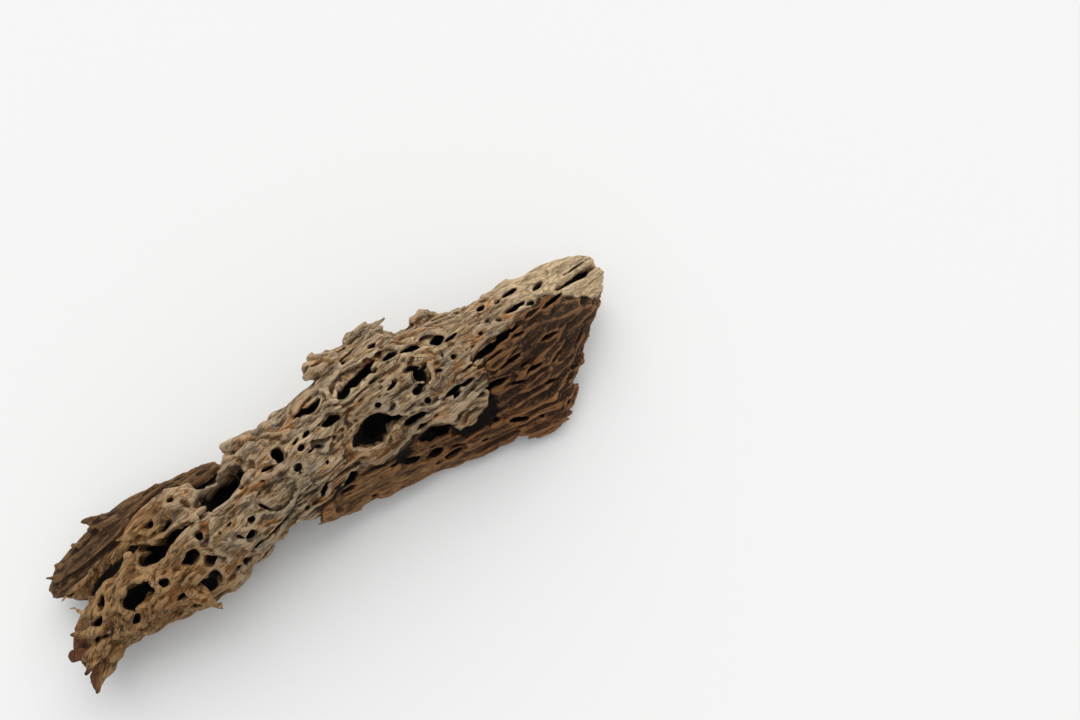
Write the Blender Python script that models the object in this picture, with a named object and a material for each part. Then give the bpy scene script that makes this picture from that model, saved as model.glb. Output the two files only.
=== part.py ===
"""Honeycomb wood: one weathered length of log, eaten through by borers, lying on its flatter side.

The log lies along X, with its splintered foot at -X and its narrow broken end at +X.
Its eaten shell faces up. A long slab stands off the +Y flank, and a band of long fibres runs down
the -Y flank. It is one piece of wood, so it is one closed body.
"""
import math

import bmesh
import bpy
from mathutils import Euler, Vector

# Driving sizes in metres
LENGTH = 0.494
SECTION_STEP = 0.0125
SECTION_POINTS = 30
FLOOR = 0.0

# Lines along the log in metres: (x, height of the crest), and so on for each line
CREST_HEIGHT = [(-0.247, 0.043), (-0.225, 0.056), (-0.195, 0.067), (-0.150, 0.077), (-0.100, 0.085),
                (-0.040, 0.091), (0.030, 0.093), (0.090, 0.088), (0.150, 0.079), (0.200, 0.066),
                (0.247, 0.052)]
CREST_Y = [(-0.247, 0.016), (-0.200, 0.024), (-0.120, 0.024), (-0.040, 0.026), (0.050, 0.026),
           (0.100, 0.014), (0.150, 0.004), (0.200, 0.002), (0.247, -0.004)]
BASE_HEIGHT = [(-0.247, 0.017), (-0.225, 0.009), (-0.195, 0.003), (-0.150, -0.003), (-0.110, -0.001),
               (-0.060, 0.003), (-0.010, 0.002), (0.040, -0.002), (0.085, -0.003), (0.130, 0.001),
               (0.180, 0.008), (0.247, 0.022)]
FAR_FLANK = [(-0.247, 0.028), (-0.225, 0.046), (-0.195, 0.052), (-0.110, 0.053), (-0.085, 0.056),
             (-0.072, 0.066), (-0.030, 0.063), (0.010, 0.066), (0.030, 0.072), (0.070, 0.069),
             (0.090, 0.056), (0.130, 0.042), (0.180, 0.029), (0.215, 0.019), (0.247, 0.006)]
NEAR_FLANK = [(-0.247, 0.002), (-0.205, 0.001), (-0.175, -0.008), (-0.150, -0.016), (-0.110, -0.018),
              (-0.080, -0.018), (-0.060, -0.016), (-0.035, -0.028), (0.000, -0.037), (0.036, -0.048),
              (0.090, -0.068), (0.140, -0.083), (0.160, -0.079), (0.181, -0.067), (0.205, -0.049),
              (0.228, -0.035), (0.247, -0.026)]
# How far the -Y flank leans out at its foot: 0 is upright, 1 is the spread band of long fibres
BAND_SPREAD = [(-0.247, 0.0), (-0.075, 0.0), (-0.020, 0.7), (0.040, 1.0), (0.170, 1.0),
               (0.215, 0.3), (0.247, 0.0)]

# The outline across X, from the crest down the +Y flank, as shares of that flank's reach and of the height
FAR_OUTLINE = [(0.0, 1.0), (0.66, 0.87), (1.0, 0.54), (0.82, 0.12), (0.30, 0.0)]
# The same from the base up the -Y flank, and how both shares change where the flank is fully spread
NEAR_OUTLINE = [(0.40, 0.0, 0.0, 0.0), (0.82, 0.06, 0.10, 0.0), (1.0, 0.46, 0.0, -0.28),
                (0.78, 0.80, -0.22, -0.08), (0.40, 0.95, -0.10, 0.0)]

# The rings that close the log's two ends: their size as a share of the next ring, and how far they stand off
FOOT_CLOSING = 0.55
END_CLOSING = 0.80
CLOSING_SHIFT = 0.0015

# Slow lumps over the loft: (depth, waves along the log, waves round it, phase)
LUMPS = [(0.0024, 7.0, 3, 0.4), (0.0020, 13.0, 5, 2.1), (0.0014, 19.0, 8, 4.4)]

# The slab: (x, inner y, outer y, underside, top)
SLAB_SECTIONS = [(-0.233, 0.064, 0.084, 0.014, 0.031), (-0.226, 0.056, 0.090, 0.009, 0.037),
                 (-0.210, 0.048, 0.093, 0.005, 0.040), (-0.185, 0.044, 0.096, 0.003, 0.042),
                 (-0.155, 0.043, 0.094, 0.002, 0.043), (-0.125, 0.042, 0.087, 0.002, 0.044),
                 (-0.100, 0.042, 0.079, 0.004, 0.044), (-0.075, 0.040, 0.068, 0.006, 0.042),
                 (-0.050, 0.038, 0.054, 0.009, 0.038)]
SLAB_ROUNDING = 0.006
# The slab's outline: (share of the way out, roundings out, share of the way up, roundings up, ridge height)
SLAB_OUTLINE = [(0.0, 0.0, 0.0, 1.0, 0.0), (0.0, 1.0, 0.0, 0.0, 0.0), (1.0, -1.0, 0.0, 0.0, 0.0),
                (1.0, 0.0, 0.0, 1.0, 0.0), (1.0, 0.0, 1.0, -2.0, 0.0), (1.0, -1.0, 1.0, -1.0, 0.0),
                (0.62, 0.0, 1.0, 0.0, 0.002), (0.5, 0.0, 1.0, -0.5, 0.0), (0.4, 0.0, 1.0, 0.0, 0.0),
                (0.0, 0.0, 1.0, -1.5, 0.0)]
SLAB_RIDGE_WAVES = 6.4
SLAB_CLOSING = 0.6
SLAB_CLOSING_SHIFT = 0.0024

# Knobs of sound wood: (centre, half sizes, turn about Z in degrees)
KNOBS = [((-0.134, 0.058, 0.057), (0.034, 0.016, 0.012), 3.0),
         ((-0.117, 0.052, 0.062), (0.022, 0.016, 0.013), -24.0),
         ((-0.057, 0.053, 0.060), (0.020, 0.013, 0.016), 8.0),
         ((0.036, 0.066, 0.058), (0.018, 0.012, 0.013), -6.0),
         ((0.068, 0.060, 0.058), (0.022, 0.010, 0.013), -4.0),
         ((-0.088, -0.012, 0.050), (0.024, 0.010, 0.016), 0.0),
         ((0.084, -0.026, 0.064), (0.034, 0.015, 0.007), -10.0),
         ((0.112, 0.042, 0.056), (0.022, 0.009, 0.012), -20.0)]

# Teeth of splintered wood: (root, tip, root radius)
TEETH = [((-0.224, 0.020, 0.033), (-0.249, 0.017, 0.030), 0.012),
         ((-0.220, 0.012, 0.028), (-0.254, -0.002, 0.019), 0.010),
         ((-0.218, 0.036, 0.040), (-0.243, 0.038, 0.039), 0.009),
         ((-0.208, 0.050, 0.044), (-0.231, 0.054, 0.041), 0.009),
         ((-0.216, 0.070, 0.028), (-0.238, 0.071, 0.025), 0.009),
         ((-0.162, 0.080, 0.032), (-0.188, 0.102, 0.036), 0.007),
         ((-0.166, 0.082, 0.034), (-0.196, 0.097, 0.040), 0.007),
         ((-0.176, 0.002, 0.030), (-0.145, -0.019, 0.020), 0.010),
         ((0.062, 0.062, 0.056), (0.091, 0.065, 0.058), 0.008),
         ((0.200, -0.034, 0.030), (0.229, -0.030, 0.030), 0.011),
         ((0.226, 0.004, 0.046), (0.250, 0.006, 0.046), 0.008),
         ((0.228, -0.014, 0.034), (0.251, -0.018, 0.036), 0.009)]

# Eaten hollows: (centre, half sizes, turn about Z, dip of the +X end about Y, both in degrees)
HOLLOWS = [((-0.089, 0.036, 0.074), (0.022, 0.011, 0.036), -6.0, 0.0),
           ((-0.152, 0.034, 0.070), (0.013, 0.006, 0.028), -14.0, 10.0),
           ((-0.183, 0.020, 0.066), (0.008, 0.006, 0.022), 10.0, 8.0),
           ((-0.200, 0.055, 0.056), (0.036, 0.005, 0.022), 3.0, 0.0),
           ((-0.141, -0.008, 0.036), (0.006, 0.010, 0.026), 16.0, 0.0),
           ((-0.066, -0.022, 0.020), (0.012, 0.016, 0.020), 0.0, 0.0),
           ((0.020, -0.004, 0.086), (0.010, 0.007, 0.026), -6.0, 12.0),
           ((0.036, 0.037, 0.090), (0.013, 0.004, 0.022), -4.0, 14.0),
           ((0.000, 0.040, 0.092), (0.011, 0.004, 0.020), 4.0, -10.0),
           ((0.078, 0.003, 0.088), (0.006, 0.005, 0.020), 40.0, 0.0),
           ((0.099, 0.021, 0.086), (0.007, 0.004, 0.018), -20.0, 8.0),
           ((0.068, 0.034, 0.092), (0.006, 0.003, 0.016), -14.0, 12.0),
           ((0.134, -0.016, 0.074), (0.021, 0.005, 0.022), -4.0, 6.0),
           ((0.056, -0.044, 0.050), (0.022, 0.008, 0.012), -16.0, 0.0),
           ((0.224, -0.010, 0.054), (0.026, 0.003, 0.014), -4.0, 0.0),
           ((-0.240, 0.019, 0.031), (0.018, 0.006, 0.006), 0.0, -8.0),
           ((0.010, 0.072, 0.028), (0.040, 0.014, 0.014), 2.0, 0.0),
           ((0.120, 0.050, 0.024), (0.034, 0.016, 0.012), -18.0, 0.0)]

# Weathered grey-brown wood
WOOD_COLOUR = (0.238, 0.169, 0.109, 1.0)
WOOD_ROUGHNESS = 0.86

LOG_NAME = "honeycomb_wood"
CUTTER_SUBDIVISIONS = 2
TOOTH_SIDES = 7
TOOTH_BLUNTNESS = 0.12
BASE_CUTTER_SIZE = (1.0, 0.5, 0.05)


def clear_scene():
    for item in list(bpy.data.objects):
        bpy.data.objects.remove(item, do_unlink=True)


def collection(name):
    group = bpy.data.collections.new(name)
    bpy.context.scene.collection.children.link(group)
    return group


def along(line, x):
    """The smooth value of a line at x, between the two points on either side of it."""
    if x <= line[0][0]:
        return line[0][1]
    for index in range(len(line) - 1):
        x0, v0 = line[index]
        x1, v1 = line[index + 1]
        if x <= x1:
            before = line[max(index - 1, 0)]
            after = line[min(index + 2, len(line) - 1)]
            span = x1 - x0
            slope0 = (v1 - before[1]) / (x1 - before[0])
            slope1 = (after[1] - v0) / (after[0] - x0)
            t = (x - x0) / span
            ease = t * t * (3.0 - 2.0 * t)
            lift = span * t * (1.0 - t)
            return v0 + (v1 - v0) * ease + lift * (slope0 * (1.0 - t) - slope1 * t)
    return line[-1][1]


def closed_curve(corners, count):
    """Points at even steps on a smooth closed curve through the corners."""
    total = len(corners)
    points = []
    for step in range(count):
        place = step * total / count
        index = int(place)
        t = place - index
        a, b, c, d = (Vector(corners[(index + k - 1) % total]) for k in range(4))
        points.append(0.5 * (2.0 * b + (c - a) * t + (2.0 * a - 5.0 * b + 4.0 * c - d) * t ** 2
                             + (3.0 * b - a - 3.0 * c + d) * t ** 3))
    return points


def log_section(x):
    """The log's outline across X: crest, +Y shoulder and flank, base, -Y flank and shoulder."""
    crest_y = along(CREST_Y, x)
    crest = along(CREST_HEIGHT, x)
    base = along(BASE_HEIGHT, x)
    far = along(FAR_FLANK, x) - crest_y
    near = along(NEAR_FLANK, x) - crest_y
    spread = along(BAND_SPREAD, x)
    tall = crest - base
    corners = [(crest_y + out * far, base + up * tall) for out, up in FAR_OUTLINE]
    for out, up, out_change, up_change in NEAR_OUTLINE:
        reach = out + out_change * spread
        height = up + up_change * spread
        corners.append((crest_y + reach * near, base + height * tall))
    outline = closed_curve(corners, SECTION_POINTS)
    middle = sum(outline, Vector((0.0, 0.0))) / len(outline)
    points = []
    for index, point in enumerate(outline):
        turn = 2.0 * math.pi * index / SECTION_POINTS
        grow = sum(depth * math.sin(waves * 2.0 * math.pi * x / LENGTH + phase)
                   * math.sin(around * turn + 2.0 * phase)
                   for depth, waves, around, phase in LUMPS)
        out = (point - middle).normalized()
        points.append((x, point.x + out.x * grow, point.y + out.y * grow))
    return points


def shrunk(ring, share, shift):
    """A smaller ring that closes an end of a loft, moved along X."""
    middle = sum((Vector(point) for point in ring), Vector()) / len(ring)
    return [tuple(middle + (Vector(point) - middle) * share + Vector((shift, 0.0, 0.0)))
            for point in ring]


def loft(name, rings, group):
    """A closed body through rings of the same number of points, from -X to +X."""
    mesh = bmesh.new()
    rows = [[mesh.verts.new(point) for point in ring] for ring in rings]
    count = len(rings[0])
    for row, following in zip(rows, rows[1:]):
        for index in range(count):
            after = (index + 1) % count
            mesh.faces.new((row[index], row[after], following[after], following[index]))
    mesh.faces.new(list(reversed(rows[0])))
    mesh.faces.new(rows[-1])
    bmesh.ops.recalc_face_normals(mesh, faces=mesh.faces)
    bmesh.ops.triangulate(mesh, faces=mesh.faces)
    return finish_mesh(name, mesh, group)


def finish_mesh(name, mesh, group):
    data = bpy.data.meshes.new(name)
    mesh.to_mesh(data)
    mesh.free()
    item = bpy.data.objects.new(name, data)
    group.objects.link(item)
    return item


def make_log(group):
    steps = round(LENGTH / SECTION_STEP)
    stations = [-LENGTH / 2.0 + LENGTH * step / steps for step in range(steps + 1)]
    rings = [log_section(x) for x in stations]
    foot = shrunk(rings[0], FOOT_CLOSING, -CLOSING_SHIFT)
    end = shrunk(rings[-1], END_CLOSING, CLOSING_SHIFT)
    return loft(LOG_NAME, [foot] + rings + [end], group)


def make_slab(group):
    """The long-fibred slab: a ridged plank with rounded corners, buried in the log at its +X end."""
    rings = []
    for x, inner, outer, under, top in SLAB_SECTIONS:
        wave = math.sin(SLAB_RIDGE_WAVES * 2.0 * math.pi * x / LENGTH)
        ring = []
        for out, out_rounding, up, up_rounding, ridge in SLAB_OUTLINE:
            y = inner + out * (outer - inner) + out_rounding * SLAB_ROUNDING
            z = under + up * (top - under) + up_rounding * SLAB_ROUNDING + ridge * wave
            ring.append((x, y, z))
        rings.append(ring)
    foot = shrunk(rings[0], SLAB_CLOSING, -SLAB_CLOSING_SHIFT)
    end = shrunk(rings[-1], SLAB_CLOSING, SLAB_CLOSING_SHIFT)
    return loft("slab", [foot] + rings + [end], group)


def make_ellipsoid(name, centre, half_sizes, turn, dip, group):
    """A round lump or hollow: a sphere stretched, dipped about Y and turned about Z."""
    mesh = bmesh.new()
    bmesh.ops.create_icosphere(mesh, subdivisions=CUTTER_SUBDIVISIONS, radius=1.0)
    bmesh.ops.scale(mesh, vec=half_sizes, verts=mesh.verts)
    angles = Euler((0.0, math.radians(dip), math.radians(turn)))
    bmesh.ops.transform(mesh, matrix=angles.to_matrix(), verts=mesh.verts)
    bmesh.ops.translate(mesh, vec=centre, verts=mesh.verts)
    return finish_mesh(name, mesh, group)


def make_tooth(name, root, tip, radius, group):
    """A splinter: a blunt cone from its buried root to its tip."""
    reach = Vector(tip) - Vector(root)
    mesh = bmesh.new()
    bmesh.ops.create_cone(mesh, cap_ends=True, segments=TOOTH_SIDES, radius1=radius,
                          radius2=TOOTH_BLUNTNESS * radius, depth=reach.length)
    bmesh.ops.translate(mesh, vec=(0.0, 0.0, reach.length / 2.0), verts=mesh.verts)
    turn = Vector((0.0, 0.0, 1.0)).rotation_difference(reach.normalized()).to_matrix()
    bmesh.ops.transform(mesh, matrix=turn, verts=mesh.verts)
    bmesh.ops.translate(mesh, vec=root, verts=mesh.verts)
    return finish_mesh(name, mesh, group)


def make_base_cutter(group):
    """A box below the floor, which wears the log's underside flat where it lies."""
    mesh = bmesh.new()
    bmesh.ops.create_cube(mesh, size=1.0)
    bmesh.ops.scale(mesh, vec=BASE_CUTTER_SIZE, verts=mesh.verts)
    bmesh.ops.translate(mesh, vec=(0.0, 0.0, FLOOR - BASE_CUTTER_SIZE[2] / 2.0), verts=mesh.verts)
    return finish_mesh("cut_base", mesh, group)


def boolean(log, other, operation):
    other.parent = log
    other.hide_render = True
    other.display_type = "WIRE"
    step = log.modifiers.new(operation.title() + " " + other.name, "BOOLEAN")
    step.operation = operation
    step.object = other
    step.solver = "EXACT"


def wood_material():
    material = bpy.data.materials.new("weathered wood")
    material.use_nodes = True
    shader = material.node_tree.nodes["Principled BSDF"]
    shader.inputs["Base Color"].default_value = WOOD_COLOUR
    shader.inputs["Roughness"].default_value = WOOD_ROUGHNESS
    shader.inputs["Metallic"].default_value = 0.0
    return material


def centre_on_box(log):
    """Puts the middle of the log's box over the origin, with its lowest face at the floor."""
    bpy.context.view_layer.update()
    shape = log.evaluated_get(bpy.context.evaluated_depsgraph_get())
    corners = [vertex.co for vertex in shape.data.vertices]
    low = Vector([min(corner[axis] for corner in corners) for axis in range(3)])
    high = Vector([max(corner[axis] for corner in corners) for axis in range(3)])
    log.location = (-(low.x + high.x) / 2.0, -(low.y + high.y) / 2.0, -low.z)


def build():
    clear_scene()
    model = collection("honeycomb wood")
    cutters = collection("cutters")
    log = make_log(model)
    log.data.materials.append(wood_material())
    boolean(log, make_slab(cutters), "UNION")
    for number, (centre, half_sizes, turn) in enumerate(KNOBS, 1):
        boolean(log, make_ellipsoid(f"knob_{number}", centre, half_sizes, turn, 0.0, cutters), "UNION")
    for number, (root, tip, radius) in enumerate(TEETH, 1):
        boolean(log, make_tooth(f"tooth_{number}", root, tip, radius, cutters), "UNION")
    for number, (centre, half_sizes, turn, dip) in enumerate(HOLLOWS, 1):
        hollow = make_ellipsoid(f"cut_hollow_{number}", centre, half_sizes, turn, dip, cutters)
        boolean(log, hollow, "DIFFERENCE")
    boolean(log, make_base_cutter(cutters), "DIFFERENCE")
    centre_on_box(log)


build()
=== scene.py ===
import math

import bpy
import numpy as np
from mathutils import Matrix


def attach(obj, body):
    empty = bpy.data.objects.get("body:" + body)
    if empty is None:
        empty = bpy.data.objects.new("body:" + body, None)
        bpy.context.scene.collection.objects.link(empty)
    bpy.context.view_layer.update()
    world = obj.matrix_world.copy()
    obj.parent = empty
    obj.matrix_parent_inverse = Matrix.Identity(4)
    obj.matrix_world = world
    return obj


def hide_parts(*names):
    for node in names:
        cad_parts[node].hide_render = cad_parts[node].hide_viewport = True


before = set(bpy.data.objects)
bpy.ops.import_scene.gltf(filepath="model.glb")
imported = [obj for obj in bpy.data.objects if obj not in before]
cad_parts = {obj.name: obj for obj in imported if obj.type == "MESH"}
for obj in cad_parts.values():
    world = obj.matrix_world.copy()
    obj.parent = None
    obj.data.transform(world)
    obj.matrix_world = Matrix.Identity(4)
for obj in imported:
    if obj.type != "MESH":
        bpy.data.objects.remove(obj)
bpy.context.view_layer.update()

import openvdb
from mathutils import Vector
from mathutils.bvhtree import BVHTree


# The view: the log leant on its foot when it was photographed. Here it lies on its hidden side, so the
# camera that looked at it from the front looks steeply down on it, turned with the log.
EYE = Vector((0.01589, -0.20897, 0.74088))
SIGHT = Vector((0.19908, 0.22052, -0.95485))
SENSOR_WIDTH = 36.0
LENS = 30.33

bpy.ops.object.camera_add(location=EYE, rotation=SIGHT.to_track_quat("-Z", "Y").to_euler())
camera = bpy.context.object
camera.name = "view"
camera.data.sensor_width = SENSOR_WIDTH
camera.data.lens = LENS
bpy.context.scene.camera = camera


# The log's body: one length of dead wood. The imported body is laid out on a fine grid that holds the
# distance to its surface at every point, in millimetres, so that weather and borers can wear it away.
TO_MM = 1000.0
VOXEL = 1.0
REACH = 10
MARGIN = 8
MERGE_DISTANCE = 0.00001

body_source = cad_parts["honeycomb_wood"]
bpy.ops.object.select_all(action="DESELECT")
body_source.select_set(True)
bpy.context.view_layer.objects.active = body_source
bpy.ops.object.duplicate()
body = bpy.context.object
body.name = "log_body"
bpy.ops.object.mode_set(mode="EDIT")
bpy.ops.mesh.select_all(action="SELECT")
bpy.ops.mesh.remove_doubles(threshold=MERGE_DISTANCE)
bpy.ops.mesh.quads_convert_to_tris()
bpy.ops.object.mode_set(mode="OBJECT")

corners = np.empty(len(body.data.vertices) * 3, np.float32)
body.data.vertices.foreach_get("co", corners)
corners = corners.reshape(-1, 3) * TO_MM
faces = np.empty(len(body.data.polygons) * 3, np.int32)
body.data.polygons.foreach_get("vertices", faces)
faces = faces.reshape(-1, 3)
bpy.data.objects.remove(body, do_unlink=True)

low = np.floor(corners.min(0) / VOXEL).astype(int) - MARGIN
high = np.ceil(corners.max(0) / VOXEL).astype(int) + MARGIN
level = openvdb.FloatGrid.createLevelSetFromPolygons(
    corners, triangles=faces.astype(np.uint32),
    transform=openvdb.createLinearTransform(voxelSize=VOXEL), halfWidth=float(REACH))
skin = np.empty(tuple(high - low + 1), np.float32)
level.copyToArray(skin, ijk=tuple(int(value) for value in low))
origin = low * VOXEL


def blurred(field, radius, rounds=2):
    """The running mean of a grid over a small box, which rounds off what is smaller than the box."""
    for _ in range(rounds):
        for axis in range(3):
            padding = [(0, 0)] * 3
            padding[axis] = (radius + 1, radius)
            total = np.cumsum(np.pad(field, padding, mode="edge"), axis=axis, dtype=np.float64)
            count = field.shape[axis]
            upper = np.take(total, range(2 * radius + 1, 2 * radius + 1 + count), axis=axis)
            lower = np.take(total, range(0, count), axis=axis)
            field = ((upper - lower) / (2 * radius + 1)).astype(np.float32)
    return field


def sampled(field, points):
    """The value of a grid at points in millimetres, between the nearest grid points."""
    place = np.clip((points - origin) / VOXEL, 0, np.array(field.shape) - 1.001)
    base = place.astype(np.int32)
    part = (place - base).astype(np.float32)
    value = 0
    for step in np.ndindex(2, 2, 2):
        weight = np.prod(np.where(step, part, 1 - part), axis=1)
        at = base + step
        value = value + weight * field[at[:, 0], at[:, 1], at[:, 2]]
    return value


LATTICE = 64
WANDER = 0.38
lattices = {}


def lattice(seed):
    """A block of random values from -1 to 1 that repeats every LATTICE steps, the same for a seed."""
    if seed not in lattices:
        lattices[seed] = np.random.default_rng(seed).uniform(-1, 1, LATTICE ** 3).astype(np.float32)
    return lattices[seed]


def rough(points, cell, seed):
    """Smooth random bumps from -1 to 1, each about as big as the cell, in millimetres."""
    heights = lattice(seed)
    scaled = points / np.array(cell, np.float32)
    base = np.floor(scaled)
    part = (scaled - base).astype(np.float32)
    part = part * part * (3 - 2 * part)
    base = base.astype(np.int32) & (LATTICE - 1)
    after = (base + 1) & (LATTICE - 1)
    rows = (base[:, 0] * LATTICE * LATTICE, after[:, 0] * LATTICE * LATTICE)
    columns = (base[:, 1] * LATTICE, after[:, 1] * LATTICE)
    layers = (base[:, 2], after[:, 2])
    value = 0
    for i in (0, 1):
        for j in (0, 1):
            line = rows[i] + columns[j]
            near_value = heights.take(line + layers[0])
            far_value = heights.take(line + layers[1])
            mixed = near_value + (far_value - near_value) * part[:, 2]
            weight = (part[:, 0] if i else 1 - part[:, 0]) * (part[:, 1] if j else 1 - part[:, 1])
            value = value + mixed * weight
    return value


def cells(points, cell, seed):
    """How far each point lies from the middle of the nearest cell, in cells: 0 there, 0.7 at its rim."""
    scaled = points / np.array(cell, np.float32)
    base = np.floor(scaled - 0.5).astype(np.int32)
    nearest = np.full(len(points), np.inf, np.float32)
    for step in np.ndindex(2, 2, 2):
        at = base + np.array(step, np.int32)
        wrapped = at & (LATTICE - 1)
        index = (wrapped[:, 0] * LATTICE + wrapped[:, 1]) * LATTICE + wrapped[:, 2]
        square = np.zeros(len(points), np.float32)
        for k in range(3):
            middle = at[:, k] + 0.5 + WANDER * lattice(seed + k).take(index)
            square += (scaled[:, k] - middle.astype(np.float32)) ** 2
        np.minimum(nearest, square, out=nearest)
    return np.sqrt(nearest)


def eased(value, start, end):
    """0 before start, 1 after end, with a smooth slope between them."""
    t = np.clip((value - start) / (end - start), 0, 1)
    return t * t * (3 - 2 * t)


skin = blurred(skin, 1, 1)


# The old outside: the body as it was before its big hollows opened, which is the body swollen until they
# close and then shrunk again. Mouths are placed on it, and what lies deep below it gets near-black painted
# shade.
COARSE = 2.5
CLOSING = 13.0
COARSE_REACH = 8.0
OUTSIDE_REACH = 14.0
coarse = openvdb.createLinearTransform(voxelSize=COARSE)
swollen = openvdb.FloatGrid.createLevelSetFromPolygons(
    corners, triangles=faces.astype(np.uint32), transform=coarse, halfWidth=COARSE_REACH)
swollen_spots, swollen_quads = swollen.convertToQuads(isovalue=CLOSING)
closed = openvdb.FloatGrid.createLevelSetFromPolygons(
    swollen_spots, quads=swollen_quads, transform=coarse, halfWidth=COARSE_REACH)
outside_spots, outside_triangles, outside_quads = closed.convertToPolygons(isovalue=-CLOSING)
outside = openvdb.FloatGrid.createLevelSetFromPolygons(
    outside_spots, triangles=outside_triangles, quads=outside_quads,
    transform=openvdb.createLinearTransform(voxelSize=VOXEL), halfWidth=OUTSIDE_REACH)
envelope = np.empty(skin.shape, np.float32)
outside.copyToArray(envelope, ijk=tuple(int(value) for value in low))
envelope = blurred(envelope, 2, 1)

# Between these places along the log its big hollows are filled to a little below the old outside, so that
# they can be bored again in the shapes they really have.
PLUG_DEPTH = 4.0
PLUG_START = (-58.0, -48.0)
PLUG_END = (185.0, 195.0)
NO_PLUG = 40.0
grid_x = np.arange(skin.shape[0]) * VOXEL + origin[0]
unplugged = 1 - eased(grid_x, *PLUG_START) * (1 - eased(grid_x, *PLUG_END))
plug = envelope + PLUG_DEPTH + NO_PLUG * unplugged.astype(np.float32)[:, None, None]
skin = np.minimum(skin, plug)


# The mouths of the borers' tunnels, read from the side that shows: (along, across, length, width, turn).
# Each sits where the camera's line of sight through that place of the sight plane meets the wood.
SIGHT_PLANE = 70.0
eye = np.array(EYE) * TO_MM
FOOT_MOUTHS = [(-201, 20, 10, 5, 45), (-208, 11, 11, 6, 20), (-175, 9, 19, 16, 0), (-185, -6, 10, 6, 25),
               (-214, 1, 5, 4, 0), (-207, -2.5, 6, 2, -30), (-212.5, -16, 4, 1.5, 0),
               (-156, 4, 8, 7, 30), (-131, 4, 16, 9, 0), (-126, -6, 8, 12, 0), (-117, 13, 7, 7, 0),
               (-151, -16, 10, 3.5, -10), (-151, -27, 8, 4, -15), (-161, -22, 6, 2, -15),
               (-150, -33, 5, 2, -30), (-135, -19, 10, 10, 0), (-126, -21, 9, 11, 0),
               (-143, 44, 7, 5, 0), (-131, 38, 11, 4, 20), (-118, 49, 5, 3.5, -20), (-111, 36, 4, 1.5, -60),
               (-141, 24, 22, 13, 0), (-155, 34, 12, 8, -40), (-114, -26, 5, 3, 0)]
SHELL_MOUTHS = [(-100, -30, 8, 6, 0), (-98.6, 4.6, 6, 2, 10), (-106, 5, 4, 1.5, 60), (-97, -8, 8, 2.5, -60),
                (-84, -3.6, 6, 5.5, 0), (-87, -15, 10, 8, -35), (-51, 19, 18, 3, -15), (-62, 14, 3, 3, 0),
                (-66, 8, 7, 1.5, 0), (-36, 22.5, 10, 10, 0), (-23, 22, 7, 2.5, 10), (-12.5, 22, 11, 3.5, 15),
                (-22, 15.6, 8, 5, 10), (-33.6, 5.7, 7, 6, 45), (-18, 8, 8, 2, 0), (-10.4, 4.3, 7, 3.5, -35),
                (-1.6, 3.6, 3, 3, 0), (-16.6, -7.7, 4, 3, 0), (-37, -0.5, 3, 2, 0), (-47, -5.5, 3, 1, 0),
                (-71, -2, 12, 2.5, -70), (-87, -23, 15, 4, 0), (-66, -22, 24, 3.5, 5), (-45, -27, 6, 4, 0),
                (-34, -26, 13, 5, 30), (-31, -31, 7, 2, 0), (-7, -30, 16, 6, 20), (-7, -22, 10, 1, 0),
                (4, 35.5, 34, 9.5, -5), (39.5, 31, 40, 11, 1), (25, 26, 12, 10, 0), (11, 15, 16, 9, -15),
                (25, -12.5, 36, 23, 3), (37, -7, 10, 5, 0), (40, -17, 30, 6, -9), (38.6, 1, 5, 5, 0),
                (48, -7.5, 5.5, 2, 0), (61, 6.5, 13, 4, 3), (77, 8.4, 12, 5, -25), (84, -2.5, 9, 20, 0),
                (74, -10, 12.5, 6.5, 0), (51, -33, 4.5, 4, -30), (68, -34, 4.5, 1.5, 0),
                (52, -26, 24, 6, -10), (88, -28, 22, 5, -4), (57, -35, 16, 3.5, -10),
                (72, -21, 5, 5, 0), (44, 47, 6.5, 3, 0),
                (48, 50, 18, 1.5, 0), (66, 43, 7, 4, 0), (48.5, 57, 5, 2, 0), (22.6, 53, 5, 2, 0),
                (10, 57, 3, 3, 0), (72, 27.5, 15, 6, -10), (51, 20, 11, 3, 0), (90, 20, 18, 7, -20),
                (103.6, 13.4, 15, 10, 0), (118, 7, 16, 3, -5), (102, -1, 6, 1.5, 60),
                (109, -8, 6.5, 5.5, -45), (91, -7.4, 7, 3.5, -40), (123, -11, 4, 1.5, 0), (137, -7, 4, 3, 0),
                (137.6, -21, 48, 7, 0), (91, -32, 8, 4, 10), (105.6, -31, 12, 4.5, -5),
                (103, -37, 9, 1.5, 0), (105, -40, 4, 2, 0), (118, -47, 20, 4.5, -12), (145.6, -49, 11, 2, 0),
                (202, 8.5, 18, 2.5, -10), (184, 16, 9, 3, -8), (178, 4, 16, 4, -9), (164, 20, 12, 6, -8),
                (152, 10, 8, 5, 0), (168, -8, 20, 5, -8), (150, 24, 9, 4, -15)]
BAND_SLOTS = [(62, -48.5, 34, 10, -12), (48, -57, 14, 5, -10), (58, -66, 24, 5, -14),
              (119, -47, 18, 4, -4), (100, -50, 14, 3, -6), (140, -40, 22, 4, -3), (150, -56, 16, 3, -8),
              (34, -51, 16, 5, -22), (-4, -52, 8, 3, -15), (113, -79, 16, 4, -28), (84, -74, 7, 2, -15),
              (127, -88, 5, 3, -25), (54, -44, 26, 8, -12), (132, -57, 17, 2.5, -25), (60, -62, 14, 3, -22),
              (20, -44, 12, 2.5, -20), (98, -68, 12, 3, -25), (150, -72, 14, 3, -20), (172, -45, 18, 4, -8),
              (228, -15.5, 26, 2, -6), (229, -24.5, 16, 3, -4), (196, -24, 22, 4, -3)]
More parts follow.
